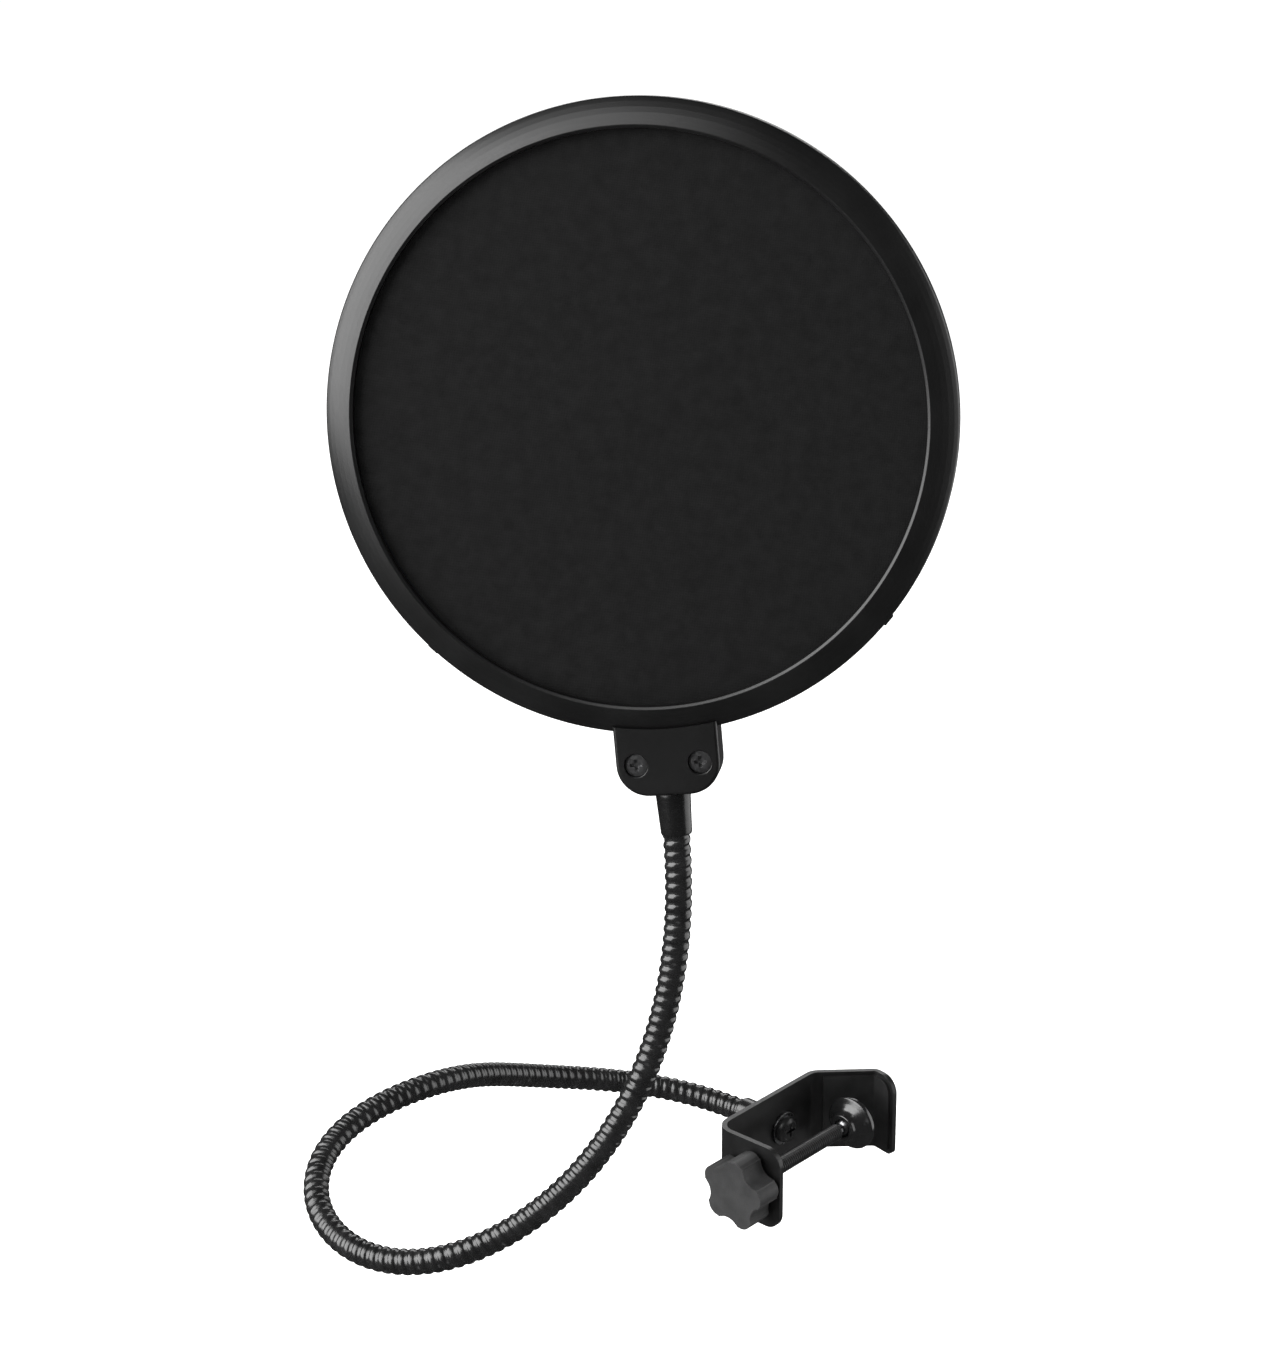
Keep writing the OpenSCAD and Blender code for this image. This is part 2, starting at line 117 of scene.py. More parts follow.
NECK_END = HOOP.translation + HOOP_UP * lowest_height("upper_sleeve", HOOP)
FOOT = JOINT_AT["neck_swivel"]
NECK_START = Vector((FOOT.x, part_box("lower_ferrule")[1].y, FOOT.z))
HOSE_JOINTS = 7
HOSE_POINTS = ([NECK_START] + [JOINT_AT[f"neck_bend_{i + 1}"] for i in range(HOSE_JOINTS)]
               + [NECK_END])
BALL = JOINT_AT["pad_tilt"]


# ---------- mesh helpers ----------

def finish_piece(name, mesh_from, material, body, nodes, smooth_angle=35):
    """Turns a bmesh into a piece that stands for CAD nodes. A piece that will be blended has no body."""
    mesh = bpy.data.meshes.new(name)
    bmesh.ops.recalc_face_normals(mesh_from, faces=mesh_from.faces)
    mesh_from.to_mesh(mesh)
    mesh_from.free()
    mesh.shade_smooth()
    mesh.set_sharp_from_angle(angle=math.radians(smooth_angle))
    piece = bpy.data.objects.new(name, mesh)
    bpy.context.scene.collection.objects.link(piece)
    mesh.materials.append(material)
    if body:
        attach(piece, body)
    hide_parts(*nodes)
    return piece


LONGEST_TANGENT = 0.49                 # of a rounded corner, as a share of its shorter side


def rounded(points, radii, steps=4, closed=True):
    """A flat polygon's corners turned into arcs, with one radius for each corner."""
    out = []
    count = len(points)
    for i, (point, r) in enumerate(zip(points, radii)):
        here = Vector(point)
        if r <= 0 or (not closed and i in (0, count - 1)):
            out.append(here)
            continue
        back = Vector(points[i - 1]) - here
        ahead = Vector(points[(i + 1) % count]) - here
        a, b = back.normalized(), ahead.normalized()
        half = a.angle(b) / 2
        reach = min(r / math.tan(half), LONGEST_TANGENT * back.length, LONGEST_TANGENT * ahead.length)
        r_here = reach * math.tan(half)
        middle = here + (a + b).normalized() * (r_here / math.sin(half))
        start, end = here + a * reach - middle, here + b * reach - middle
        turn = start.angle_signed(end)
        for k in range(steps + 1):
            angle = -turn * k / steps
            c, s = math.cos(angle), math.sin(angle)
            out.append(middle + Vector((start.x * c - start.y * s, start.x * s + start.y * c)))
    return out


def lathe(profile, matrix, sides=96, closed=True):
    """Revolves [radius, height] points about local Z. Points on the axis become poles."""
    bm = bmesh.new()
    rings = []
    for radius, height in profile:
        if radius < 1e-7:
            rings.append([bm.verts.new(matrix @ Vector((0, 0, height)))] * sides)
            continue
        ring = []
        for k in range(sides):
            a = 2 * math.pi * k / sides
            ring.append(bm.verts.new(matrix @ Vector((radius * math.cos(a), radius * math.sin(a), height))))
        rings.append(ring)
    spans = len(rings) if closed else len(rings) - 1
    for i in range(spans):
        one, two = rings[i], rings[(i + 1) % len(rings)]
        for k in range(sides):
            corners = [one[k], one[(k + 1) % sides], two[(k + 1) % sides], two[k]]
            distinct = list(dict.fromkeys(corners))
            if len(distinct) > 2:
                bm.faces.new(distinct)
    return bm


def circle_point(r, degrees):
    """A point on a circle about the origin."""
    return Vector((r * math.cos(math.radians(degrees)), r * math.sin(math.radians(degrees))))


def joined_by_faces(bm, rings):
    """Fills quads between rings of vertices that follow each other."""
    count = len(rings[0])
    for one, two in zip(rings, rings[1:]):
        for k in range(count):
            bm.faces.new([one[k], one[(k + 1) % count], two[(k + 1) % count], two[k]])


def work_object(shape):
    """A bmesh as a plain object that modifiers can use."""
    bmesh.ops.recalc_face_normals(shape, faces=shape.faces)
    mesh = bpy.data.meshes.new("work")
    shape.to_mesh(mesh)
    shape.free()
    thing = bpy.data.objects.new("work", mesh)
    bpy.context.scene.collection.objects.link(thing)
    return thing


def combined(base, others, operation):
    """Joins solids to a base, or cuts them out of it. All the bmeshes given are used up."""
    target = work_object(base)
    tools = [work_object(other) for other in others]
    for tool in tools:
        step = target.modifiers.new("step", "BOOLEAN")
        step.solver = "EXACT"
        step.operation = operation
        step.object = tool
    result = bmesh.new()
    result.from_object(target, bpy.context.evaluated_depsgraph_get())
    for thing in [target, *tools]:
        bpy.data.objects.remove(thing)
    return result


def moved(shape, matrix):
    """The same bmesh, moved by a matrix."""
    bmesh.ops.transform(shape, matrix=matrix, verts=shape.verts)
    return shape


def even_normals(piece, keep_sharp):
    """Keeps large flat faces flat beside rounded edges."""
    step = piece.modifiers.new("normals", "WEIGHTED_NORMAL")
    step.keep_sharp = keep_sharp


# ---------- materials ----------

def new_material(name, colour, roughness, metallic=0.0, **sockets):
    """A principled material. Other sockets are named with _ for a space."""
    material = bpy.data.materials.new(name)
    material.use_nodes = True
    shader = material.node_tree.nodes["Principled BSDF"]
    shader.inputs["Base Color"].default_value = (*colour, 1)
    shader.inputs["Roughness"].default_value = roughness
    shader.inputs["Metallic"].default_value = metallic
    for key, value in sockets.items():
        shader.inputs[key.replace("_", " ")].default_value = value
    return material, material.node_tree, shader


def ramp(tree, source, low, high, first=0.0, second=1.0):
    """Colour that goes from low to high while the source goes from first to second."""
    node = tree.nodes.new("ShaderNodeValToRGB")
    node.color_ramp.elements[0].position = first
    node.color_ramp.elements[1].position = second
    node.color_ramp.elements[0].color = (*low, 1)
    node.color_ramp.elements[1].color = (*high, 1)
    tree.links.new(source, node.inputs["Fac"])
    return node.outputs["Color"]


def grey(value):
    """A neutral tone with a trace of blue."""
    return (value, value, value * 1.02)


def noise(tree, scale, detail):
    """Noise in the piece's own coordinates."""
    place = tree.nodes.new("ShaderNodeTexCoord")
    texture = tree.nodes.new("ShaderNodeTexNoise")
    texture.inputs["Scale"].default_value = scale
    texture.inputs["Detail"].default_value = detail
    tree.links.new(place.outputs["Object"], texture.inputs["Vector"])
    return texture.outputs["Fac"]


def bump(tree, shader, height, distance):
    """Fine relief, with its depth in metres."""
    node = tree.nodes.new("ShaderNodeBump")
    node.inputs["Distance"].default_value = distance
    tree.links.new(height, node.inputs["Height"])
    tree.links.new(node.outputs["Normal"], shader.inputs["Normal"])


EDGE_HIGHLIGHT_SHARE = 0.5                       # how much of the painted edge highlight's colour shows on the sharpest edges
EDGE_HIGHLIGHT_FROM, EDGE_HIGHLIGHT_TO = 0.56, 0.66        # pointiness at which the painted edge highlight begins and is full
BROAD_SHARE = 1 / 12                   # scale of the tone's noise against the grain's
TONE_SPAN = (0.35, 0.65)               # part of the noise's range that spans the two tones
ROUGH_SPAN = (0.3, 0.7)                # the same for the roughness, and for the screens' tones


def painted_edge_highlight(tree, base, highlight_colour):
    """Mixes a lighter colour into convex edges as a painted highlight."""
    geometry = tree.nodes.new("ShaderNodeNewGeometry")
    sharp = ramp(tree, geometry.outputs["Pointiness"], (0, 0, 0), (EDGE_HIGHLIGHT_SHARE,) * 3, EDGE_HIGHLIGHT_FROM, EDGE_HIGHLIGHT_TO)
    mix = tree.nodes.new("ShaderNodeMix")
    mix.data_type = "RGBA"
    tree.links.new(sharp, mix.inputs["Factor"])
    tree.links.new(base, mix.inputs["A"])
    mix.inputs["B"].default_value = (*highlight_colour, 1)
    return mix.outputs["Result"]


def textured(name, low, high, roughness, spread, grain, depth, metallic=0.0, edge_highlight=None, broad=None,
             detail=5.0, **sockets):
    """A material whose colour, roughness and bump all vary, as on a real surface.

    low and high are the two tones, spread the roughness's variation to each side, grain the scale of
    the fine noise and broad that of the tone's, depth the bump's height in metres. The lighter colour given for
    convex edges is a painted highlight.
    """
    material, tree, shader = new_material(name, high, roughness, metallic, **sockets)
    tone = noise(tree, broad or grain * BROAD_SHARE, 3.0)
    fine = noise(tree, grain, detail)
    colour = ramp(tree, tone, low, high, *TONE_SPAN)
    # Convex edges get a lighter colour as a painted highlight
    if edge_highlight:
        colour = painted_edge_highlight(tree, colour, edge_highlight)
    tree.links.new(colour, shader.inputs["Base Color"])
    rough = ramp(tree, fine, (roughness - spread,) * 3, (roughness + spread,) * 3, *ROUGH_SPAN)
    tree.links.new(rough, shader.inputs["Roughness"])
    bump(tree, shader, fine, depth)
    return material


# The lighter edge colours given to these materials are painted highlights on convex edges
STRIP = textured("satin_black_coat", grey(0.0045), grey(0.0075), 0.40, 0.06, 2600, 0.00002,
                 edge_highlight=grey(0.03))
OXIDE = textured("black_oxide", grey(0.008), grey(0.014), 0.34, 0.08, 1800, 0.00001, edge_highlight=grey(0.08))
PAD = textured("gloss_black_coat", grey(0.006), grey(0.010), 0.22, 0.05, 1500, 0.00001,
               edge_highlight=grey(0.04), Specular_IOR_Level=0.8)
ZINC = textured("plain_zinc", grey(0.20), grey(0.30), 0.30, 0.08, 1400, 0.00001, metallic=1.0)
SCREW = textured("dark_screw_steel", grey(0.17), grey(0.26), 0.36, 0.08, 1800, 0.00001, metallic=1.0)
BRASS = textured("brass", (0.45, 0.31, 0.10), (0.6, 0.43, 0.16), 0.3, 0.06, 1400, 0.00001, metallic=1.0)
HOSE = textured("hose_black", grey(0.006), grey(0.011), 0.24, 0.07, 2200, 0.00001,
                edge_highlight=grey(0.05), Specular_IOR_Level=0.7)
GLOSS = textured("gloss_black", grey(0.003), grey(0.005), 0.26, 0.04, 900, 0.000005)
KNOB = textured("matt_dark_grey", grey(0.019), grey(0.026), 0.60, 0.06, 3200, 0.00003,
                edge_highlight=grey(0.05))
RUBBER = textured("matt_rubber", grey(0.006), grey(0.010), 0.5, 0.08, 3000, 0.00002)
RING = textured("satin_black_moulding", grey(0.0035), grey(0.0055), 0.36, 0.05, 2400, 0.000012,
                broad=60, detail=4.0)

WEAVE_PITCH = 0.4 * MM
WAVE_UNIT = 2 * math.pi / 20           # wavelength of Blender's wave texture at a scale of 1
WEAVE_DEPTH = 0.03 * MM
WEAVE_UNEVENNESS = 0.3
HOLE_TONE = 0.35                       # how dark the gaps between threads are against the threads
HOLE_SPAN = (0.4, 1.0)


def screen_material():
    """Tight fine weave along the hoop's own axes, black, slightly uneven in tone."""
    material, tree, shader = new_material("woven_screen", grey(0.006), 0.75, Sheen_Weight=0.012,
                                          Specular_IOR_Level=0.15)
    place = tree.nodes.new("ShaderNodeTexCoord")
    turn = tree.nodes.new("ShaderNodeMapping")
    turn.inputs["Rotation"].default_value = HOOP.to_3x3().inverted().to_euler("XYZ")
    tree.links.new(place.outputs["Object"], turn.inputs["Vector"])
    weave = []
    for axis in ("X", "Y"):
        wave = tree.nodes.new("ShaderNodeTexWave")
        wave.bands_direction = axis
        wave.inputs["Scale"].default_value = WAVE_UNIT / WEAVE_PITCH
        wave.inputs["Distortion"].default_value = WEAVE_UNEVENNESS
        tree.links.new(turn.outputs["Vector"], wave.inputs["Vector"])
        weave.append(wave.outputs["Fac"])
    crossed = tree.nodes.new("ShaderNodeMath")
    crossed.operation = "MAXIMUM"
    tree.links.new(weave[0], crossed.inputs[0])
    tree.links.new(weave[1], crossed.inputs[1])
    mottle = noise(tree, 300, 5.0)
    colour = ramp(tree, mottle, grey(0.0042), grey(0.0072), *ROUGH_SPAN)
    thread = ramp(tree, crossed.outputs[0], (HOLE_TONE,) * 3, (1,) * 3, *HOLE_SPAN)
    mix = tree.nodes.new("ShaderNodeMix")
    mix.data_type = "RGBA"
    mix.blend_type = "MULTIPLY"
    mix.inputs["Factor"].default_value = 1.0
    tree.links.new(colour, mix.inputs["A"])
    tree.links.new(thread, mix.inputs["B"])
    tree.links.new(mix.outputs["Result"], shader.inputs["Base Color"])
    bump(tree, shader, crossed.outputs[0], WEAVE_DEPTH)
    return material


SCREEN = screen_material()


# ---------- camera ----------

CAMERA_ANGLES = (-47.76, 20.50, -0.46)  # azimuth, elevation and roll in degrees
CAMERA_PLACE = Vector((-602.6, -456.0, 418.2)) * MM
SENSOR_WIDTH = 36
FRAME_HEIGHT = 1354                    # long side of the frame, which the sensor's width spans
CAMERA_FOCAL = 2880                    # focal length in the same units


def add_camera():
    """The photograph's viewing angle: from the knob side, a little above."""
    azimuth, elevation, roll = (math.radians(a) for a in CAMERA_ANGLES)
    back = Vector((math.sin(azimuth) * math.cos(elevation),
                   -math.cos(azimuth) * math.cos(elevation), math.sin(elevation)))
    data = bpy.data.cameras.new("camera")
    camera = bpy.data.objects.new("camera", data)
    bpy.context.scene.collection.objects.link(camera)
    camera.location = CAMERA_PLACE
    camera.rotation_mode = "QUATERNION"
    turn = back.to_track_quat("Z", "Y")
    camera.rotation_quaternion = turn @ Matrix.Rotation(roll, 4, "Z").to_quaternion()
    data.sensor_width = SENSOR_WIDTH
    data.lens = SENSOR_WIDTH * CAMERA_FOCAL / FRAME_HEIGHT
    data.clip_start, data.clip_end = 0.01, 20
    bpy.context.scene.camera = camera
    return camera


CAMERA = add_camera()


# ---------- gooseneck ----------

RIB_PITCH = 2.75 * MM
RIB_DEPTH = 0.45 * MM
WIRE_SHARE = 0.68                      # part of the pitch that the round wire takes up
WIRE_ROUNDNESS = 0.97                  # 1 would take the wire's sides down to the full depth
GROOVE_HEIGHT = 0.17                   # height in the groove beside the wire, as a share of the depth
GROOVE_CROWN = 0.10                    # rise in the middle of the groove
HOSE_R = 3.5 * MM
HOSE_SIDES = 36
SECTION_STEPS = 196                    # rings in one section, about 12 to a rib
EVEN_OUT = 65                          # spread, in rings, over which the bends run into each other
SOCKET_OVERLAP = 3                     # rings that the hose goes on inside its end fittings
START_DIRECTION = Vector((0, 1, 0))    # in which the hose leaves its lower fitting


def arc_chain():
    """Points along the gooseneck. Each section is the arc that leaves in the last one's direction."""
    points = []
    tangent = START_DIRECTION
    for start, end in zip(HOSE_POINTS, HOSE_POINTS[1:]):
        chord = end - start
        half = tangent.angle(chord)
        radius = chord.length / (2 * math.sin(half))
        towards = (chord - chord.dot(tangent) * tangent).normalized()
        for k in range(SECTION_STEPS):
            angle = 2 * half * k / SECTION_STEPS
            points.append(start + radius * math.sin(angle) * tangent
                          + radius * (1 - math.cos(angle)) * towards)
        tangent = Matrix.Rotation(2 * half, 3, tangent.cross(towards)) @ tangent
    points.append(HOSE_POINTS[-1])
    return np.array([list(p) for p in points])


def run_on(points, count):
    """Adds straight run-ins at both ends of a path."""
    steps = np.arange(1, count + 1)[:, None]
    before = points[0] - steps[::-1] * (points[1] - points[0])
    after = points[-1] + steps * (points[-1] - points[-2])
    return np.vstack([before, points, after])


def averaged(points):
    """A path smoothed by a weighted mean along its length."""
    reach = 3 * EVEN_OUT
    weights = np.exp(-0.5 * (np.arange(-reach, reach + 1) / EVEN_OUT) ** 2)
    weights /= weights.sum()
    wide = run_on(points, reach)
    return np.stack([np.convolve(wide[:, i], weights, "valid") for i in range(3)], axis=1)


def hose_path():
    """The chain of arcs with its curvature evened out. It stays within about a millimetre of it."""
    chain = arc_chain()
    once = averaged(chain)
    return run_on(2 * once - averaged(once), SOCKET_OVERLAP)


def hose_frames(path):
    """Point, side and across direction at each ring, turned as little as possible along the way."""
    points = [Vector(p) for p in path]
    tangents = [(b - a).normalized() for a, b in zip([points[0]] + points[:-1], points[1:] + [points[-1]])]
    tangents[0] = tangents[1]
    side = UP.copy()
    frames = []
    for point, tangent in zip(points, tangents):
        side = (side - side.dot(tangent) * tangent).normalized()
        frames.append((point, side.copy(), tangent.cross(side)))
    return frames


HOSE_FRAMES = hose_frames(hose_path())


def ring_at(section):
    """Number of the ring at a place counted in sections, such as 1.5 for the middle of the second."""
    return SOCKET_OVERLAP + round(section * SECTION_STEPS)


def rib_profile(phase):
    """Height of the winding, 0 in the groove to 1 on the round wire's crest."""
    x = phase % 1.0
    if x < WIRE_SHARE:
        u = 2 * x / WIRE_SHARE - 1
        return math.sqrt(1 - WIRE_ROUNDNESS * u * u)
    u = 2 * (x - WIRE_SHARE) / (1 - WIRE_SHARE) - 1
    return GROOVE_HEIGHT + GROOVE_CROWN * (1 - u * u)


def hose_piece(first, last):
    """The wound hose from one ring to another."""
    bm = bmesh.new()
    lengths = [(b[0] - a[0]).length for a, b in zip(HOSE_FRAMES, HOSE_FRAMES[1:])]
    travelled = sum(lengths[:first])
    rings = []
    for number in range(first, last + 1):
        point, side, across = HOSE_FRAMES[number]
        ring = []
        for j in range(HOSE_SIDES):
            a = 2 * math.pi * j / HOSE_SIDES
            r = HOSE_R - RIB_DEPTH * (1 - rib_profile(travelled / RIB_PITCH - j / HOSE_SIDES))
            ring.append(bm.verts.new(point + r * (math.cos(a) * side + math.sin(a) * across)))
        rings.append(ring)
        travelled += lengths[number] if number < len(lengths) else 0
    joined_by_faces(bm, rings)
    return bm


def make_hose():
    """Seven pieces, each bending across one joint, cut in the middle of the sections."""
    for i in range(1, HOSE_JOINTS + 1):
        last_one = i == HOSE_JOINTS
        first = 0 if i == 1 else ring_at(i - 0.5)
        last = len(HOSE_FRAMES) - 1 if last_one else ring_at(i + 0.5)
        nodes = [f"gooseneck_{i}"] + ([f"gooseneck_{i + 1}"] if last_one else [])
        piece = finish_piece(f"hose_{i}", hose_piece(first, last), HOSE, None, nodes,
                             smooth_angle=180)
        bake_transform(piece)


make_hose()


# ---------- hoop, in millimetres in its own frame ----------

RIM_R = 77.5
BED_R = 75.2                           # wall of the bed that the screen lies in
LIP_R = 70.0                           # the opening
CREST_R = 70.7                         # highest line of the cone, just outside the opening
RIM_HEIGHT = 3.0
LIP_HEIGHT = 7.0
CREST_FALL = 0.5                       # the crest slopes down this much towards the opening
SCREEN_HEIGHT = 4.4
SCREEN_R = 75.0
SCREEN_DROP = 0.15                     # of the cloth below the bed's face
SCREEN_RINGS, SCREEN_SIDES = 24, 128
CONE_BULGE = 0.4                       # how far the cone's middle stands proud of a straight one
CONE_STEPS = 5
RING_SIDES = 256
TAB_W = 26
TAB_T = 5                              # thickness of one half of the tab
TAB_DROP = 15.5
TAB_CORNER = 8
TAB_STEPS = 12                         # in each corner of the tab, and across its top
TAB_EDGE = 0.9                         # rounding of the tab's front edge
EDGE_STEPS = 5
TAB_TOP_R = 76                         # the tab ends inside the rim's wall, on this circle
TAB_SCREWS = [(side * 8, -85.0) for side in (-1, 1)]
RECESS_R = 2.95
RECESS_FLOOR = 2.4
RECESS_FLARE = 0.4                     # how much wider its mouth is
RECESS_MOUTH = 0.2                     # how far below the face the flare begins
NUB_ANGLE = 47                         # of the rim nubs from the tab
NUB_SIZE = (0.9, 3.2, 1.8)
NUB_ROUNDING = 0.3
NUB_LIFT = 0.05                        # of the nub above the joint between the rings
IN_METRES = Matrix.Scale(MM, 4)


def ring_profile():
    """Cross-section of one ring: wall, rim, bulging cone, crest, opening and screen bed."""
    rim, crest = Vector((RIM_R, RIM_HEIGHT)), Vector((CREST_R, LIP_HEIGHT))
    outward = Vector((LIP_HEIGHT - RIM_HEIGHT, RIM_R - CREST_R)).normalized()
    cone = []
    for k in range(1, CONE_STEPS):
        t = k / CONE_STEPS
        cone.append(tuple(rim.lerp(crest, t) + 4 * t * (1 - t) * CONE_BULGE * outward))
    points = [(BED_R, 0), (RIM_R, 0), tuple(rim), *cone, tuple(crest), (LIP_R, LIP_HEIGHT - CREST_FALL),
              (LIP_R, SCREEN_HEIGHT), (BED_R, SCREEN_HEIGHT)]
    radii = [0, 0.3, 1.2, *[3.0] * len(cone), 0.35, 0.25, 0.15, 0]
    return [tuple(p) for p in rounded(points, radii)]


def tab_outline(inset):
    """U-shaped outline of the tab, closed by an arc inside the rim's wall."""
    half, r = TAB_W / 2 - inset, TAB_CORNER - inset
    bottom = -(RIM_R + TAB_DROP) + inset
    points = []
    for centre_x, start in ((-half + r, 180), (half - r, 270)):
        for k in range(TAB_STEPS + 1):
            points.append(Vector((centre_x, bottom + r)) + circle_point(r, start + 90 * k / TAB_STEPS))
    for k in range(TAB_STEPS + 1):
        x = half * (1 - 2 * k / TAB_STEPS)
        points.append(Vector((x, -math.sqrt(TAB_TOP_R ** 2 - x ** 2))))
    return points


def extruded(outline_at, height, edge):
    """A plate on z = 0 whose front edge is rounded. outline_at gives the outline at an inset."""
    bm = bmesh.new()
    levels = [(0, 0)]
    for k in range(EDGE_STEPS + 1):
        angle = math.pi / 2 * k / EDGE_STEPS
        levels.append((edge * (1 - math.cos(angle)), height - edge + edge * math.sin(angle)))
    loops = [[bm.verts.new((p.x, p.y, z)) for p in outline_at(inset)] for inset, z in levels]
    joined_by_faces(bm, loops)
    bm.faces.new(loops[0][::-1])
    bm.faces.new(loops[-1])
    return bm


def rim_nub(angle):
    """One small rounded nub on the rim, which snaps the two halves together."""
    bm = bmesh.new()
    bmesh.ops.create_cube(bm, size=1.0, matrix=Matrix.Diagonal((*NUB_SIZE, 1)))
    bmesh.ops.bevel(bm, geom=bm.edges[:], offset=NUB_ROUNDING, segments=3, affect="EDGES", profile=0.5)
    middle = Matrix.Translation((RIM_R, 0, NUB_SIZE[2] / 2 + NUB_LIFT))
    return moved(bm, Matrix.Rotation(math.radians(angle - 90), 4, "Z") @ middle)


def recess(place):
    """What the head of a tab screw sinks into."""
    wide, above = RECESS_R + RECESS_FLARE, TAB_T + 1
    profile = [(0, RECESS_FLOOR), (RECESS_R, RECESS_FLOOR), (RECESS_R, TAB_T - RECESS_MOUTH),
               (wide, TAB_T + RECESS_MOUTH), (wide, above), (0, above)]
    return lathe(profile, Matrix.Translation((*place, 0)), sides=40, closed=False)


def flip(matrix):
    """The same place, looking out of the back."""
    return matrix @ Matrix.Diagonal((1, 1, -1, 1))


def make_ring(name, node, matrix, is_front):
    """One ring with its half of the tab. Only the front one has nubs and recesses."""
    parts = [extruded(tab_outline, TAB_T, TAB_EDGE)]
    if is_front:
        parts += [rim_nub(side * NUB_ANGLE) for side in (-1, 1)]
    bm = combined(lathe(ring_profile(), Matrix.Identity(4), RING_SIDES), parts, "UNION")
    if is_front:
        bm = combined(bm, [recess(place) for place in TAB_SCREWS], "DIFFERENCE")
    piece = finish_piece(name, moved(bm, matrix @ IN_METRES), RING, BODY_OF[node], [node])
    even_normals(piece, keep_sharp=True)


def make_screen(name, node, matrix):
    """A single stretched cloth, finely divided."""
    profile = [(0, 0)] + [(SCREEN_R * i / SCREEN_RINGS, 0) for i in range(1, SCREEN_RINGS + 1)]
    bm = lathe(profile, Matrix.Translation((0, 0, SCREEN_HEIGHT - SCREEN_DROP)), SCREEN_SIDES,
               closed=False)
    piece = finish_piece(name, moved(bm, matrix @ IN_METRES), SCREEN, BODY_OF[node], [node])


make_ring("ring_front", "front_ring", HOOP, True)
make_ring("ring_rear", "rear_ring", flip(HOOP), False)
make_screen("screen_front", "front_screen", HOOP)
make_screen("screen_rear", "rear_screen", flip(HOOP))


# ---------- clamp screw and pad, in millimetres about the screw's axis ----------

# Local Z is +X, from the ball's centre
SCREW_AXIS = placed(Vector((0, 1, 0)), UP, BALL) @ IN_METRES
THREAD_PITCH = 0.8
THREAD_R = 2.4
SHANK_FROM = 0.9 * THREAD_R * MM       # vertices further out than this belong to the shank
THREAD_DEPTH = 0.32
THREAD_FORM = 1.5                      # 1 is a plain V, and more rounds the crest
THREAD_STEPS = 8                       # rings to one turn of the thread
SCREW_CHAMFER = 0.5
PIN_R = 1.1                            # pin between the shank and the ball
SCREW_SIDES = 32
SOCKET_R = 2.95
SOCKET_STEP = 12.5                     # degrees between the socket's points
PAD_OUTSIDE = [(2.4, -1.2), (2.75, -2.0), (4.1, -2.0), (4.2, -0.6), (4.9, 0.5), (6.4, 1.5), (7.3, 1.9),
               (8.0, 2.2), (8.0, 3.6), (0, 3.6)]
PAD_RADII = [0, 0.2, 0.5, 1.2, 3.0, 3.0, 1.0, 0.5, 0.35, 0]


def screw_stations():
    """Places along the screw, from the ball's centre: its start, the shank's end and the pin's end."""
    low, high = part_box("clamp_screw")
    shank = [v.co.x for v in frame["nodes"]["clamp_screw"].data.vertices
             if math.hypot(v.co.y, v.co.z) > SHANK_FROM]
    return [(x - BALL.x) / MM for x in (low.x, max(shank), high.x)]


def make_clamp_screw():
    """A thread cut along the whole shank, chamfered at its end, with the pin that the ball sits on."""
    start, shank_end, pin_end = screw_stations()
    rows = []
    count = round((shank_end - start) / THREAD_PITCH * THREAD_STEPS)
    for i in range(count + 1):
        z = start + (shank_end - start) * i / count
        to_end = min(z - start, shank_end - z)
        crest = THREAD_R - max(0.0, SCREW_CHAMFER - to_end)
        row = []
        for k in range(SCREW_SIDES):
            phase = (z / THREAD_PITCH - k / SCREW_SIDES) % 1.0
            r = min(crest, THREAD_R - THREAD_DEPTH * abs(2 * phase - 1) ** THREAD_FORM)
            row.append((r, z, k))
        rows.append(row)
    for z in (shank_end, pin_end):
        rows.append([(PIN_R, z, k) for k in range(SCREW_SIDES)])
    bm = bmesh.new()
    rings = []
    for row in rows:
        ring = []
        for r, z, k in row:
            a = 2 * math.pi * k / SCREW_SIDES
            ring.append(bm.verts.new((r * math.cos(a), r * math.sin(a), z)))
        rings.append(ring)
    joined_by_faces(bm, rings)
    bm.faces.new(rings[0][::-1])
    bm.faces.new(rings[-1])
    finish_piece("screw_thread", moved(bm, SCREW_AXIS), OXIDE, BODY_OF["clamp_screw"],
                 ["clamp_screw"], smooth_angle=50)


def make_pad():
    """Hub with a hollow round the ball's neck, a flared skirt and a rolled rim."""
    socket = [(SOCKET_R * math.sin(a), SOCKET_R * math.cos(a))
              for a in (math.radians(SOCKET_STEP * k) for k in range(10))]
    outside = [tuple(p) for p in rounded(PAD_OUTSIDE, PAD_RADII, steps=5, closed=False)]
    bm = lathe(socket + outside, Matrix.Identity(4), sides=72, closed=False)
    finish_piece("pad_shell", moved(bm, SCREW_AXIS), PAD, BODY_OF["swivel_pad"],
                 ["swivel_pad"])


make_clamp_screw()
make_pad()


# ---------- carried CAD nodes ----------

# Material and width of the softened edges, in millimetres
CARRIED = {
    "clamp_bracket": (STRIP, 0.3), "clamp_nut": (STRIP, 0.2), "jaw_liner": (RUBBER, 0.15),
    "knob_insert": (BRASS, 0.1), "knob": (KNOB, 0.5), "ball_tip": (ZINC, 0.05),
    "pad_face": (RUBBER, 0.15), "neck_screw": (OXIDE, 0.1),
    "neck_washer": (ZINC, 0.1), "lower_ferrule": (HOSE, 0.15), "upper_sleeve": (GLOSS, 0.15),
    "neck_tongue": (ZINC, 0.1), "spacer_ring": (RING, 0.1), "tab_screws": (SCREW, 0.1)}
WELD_DISTANCE = 0.002 * MM
EDGE_FROM = math.radians(32)           # edges sharper than this are softened


